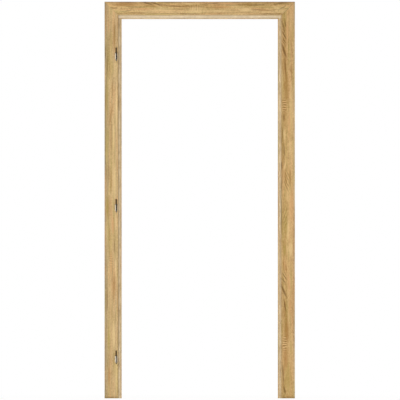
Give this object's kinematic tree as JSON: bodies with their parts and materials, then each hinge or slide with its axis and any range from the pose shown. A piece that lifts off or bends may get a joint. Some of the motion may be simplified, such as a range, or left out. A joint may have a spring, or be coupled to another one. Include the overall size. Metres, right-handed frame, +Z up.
{
  "type": "door frame",
  "caption": "Adjustable timber door frame: mitred casings front and rear, stepped lining with bulb seal, hinge frame parts on the left and a strike plate on the right.",
  "frame": {"origin": "middle of the frame's depth and width, on the floor", "axes": "+X to the lock side, +Y from the hinge face to the back, +Z up"},
  "size_m": [0.987, 0.1938, 2.056],
  "materials": {
    "lining": "light oak foil on board, silk",
    "front_casing": "light oak foil on board, silk",
    "rear_casing": "light oak foil on board, silk",
    "seal": "soft beige elastomer, matt",
    "spline": "plywood, raw",
    "dowel": "beech, raw",
    "hinge_barrel": "satin nickel plated",
    "hinge_pin": "blackened steel",
    "thrust_washer": "black nylon",
    "cam": "die-cast zinc alloy, bright",
    "strike_plate": "satin nickel plated",
    "zinc_steel": "zinc plated"
  },
  "bodies": {
    "frame": {"lining_hinge_side": "lining", "lining_lock_side": "lining", "lining_head": "lining", "corner_cams": "cam", "corner_bolts": "zinc_steel", "corner_dowels": "dowel", "front_casing_hinge_side": "front_casing", "front_casing_lock_side": "front_casing", "front_casing_head": "front_casing", "mitre_dowels": "dowel", "spline_hinge_side": "spline", "spline_lock_side": "spline", "spline_head": "spline", "seal_hinge_side": "seal", "seal_lock_side": "seal", "seal_head": "seal", "hinge_knuckle_bottom": "hinge_barrel", "hinge_pin_bottom": "hinge_pin", "hinge_washer_bottom": "thrust_washer", "hinge_pocket_bottom": "zinc_steel", "hinge_knuckle_middle": "hinge_barrel", "hinge_pin_middle": "hinge_pin", "hinge_washer_middle": "thrust_washer", "hinge_pocket_middle": "zinc_steel", "hinge_knuckle_top": "hinge_barrel", "hinge_pin_top": "hinge_pin", "hinge_washer_top": "thrust_washer", "hinge_pocket_top": "zinc_steel", "hinge_pocket_screws": "zinc_steel", "hinge_clamp_screws": "zinc_steel", "strike_plate": "strike_plate", "strike_plate_screws": "zinc_steel"},
    "rear_casing": {"rear_casing_hinge_side": "rear_casing", "rear_casing_lock_side": "rear_casing", "rear_casing_head": "rear_casing", "rear_corner_bracket_hinge_side": "zinc_steel", "rear_corner_bracket_lock_side": "zinc_steel", "rear_bracket_screws": "zinc_steel"}
  },
  "joints": [
    {"name": "rear_casing_slide", "type": "slide", "parent": "frame", "child": "rear_casing", "axis": [0, 1, 0], "range_m": [0, 0.02]}
  ]
}
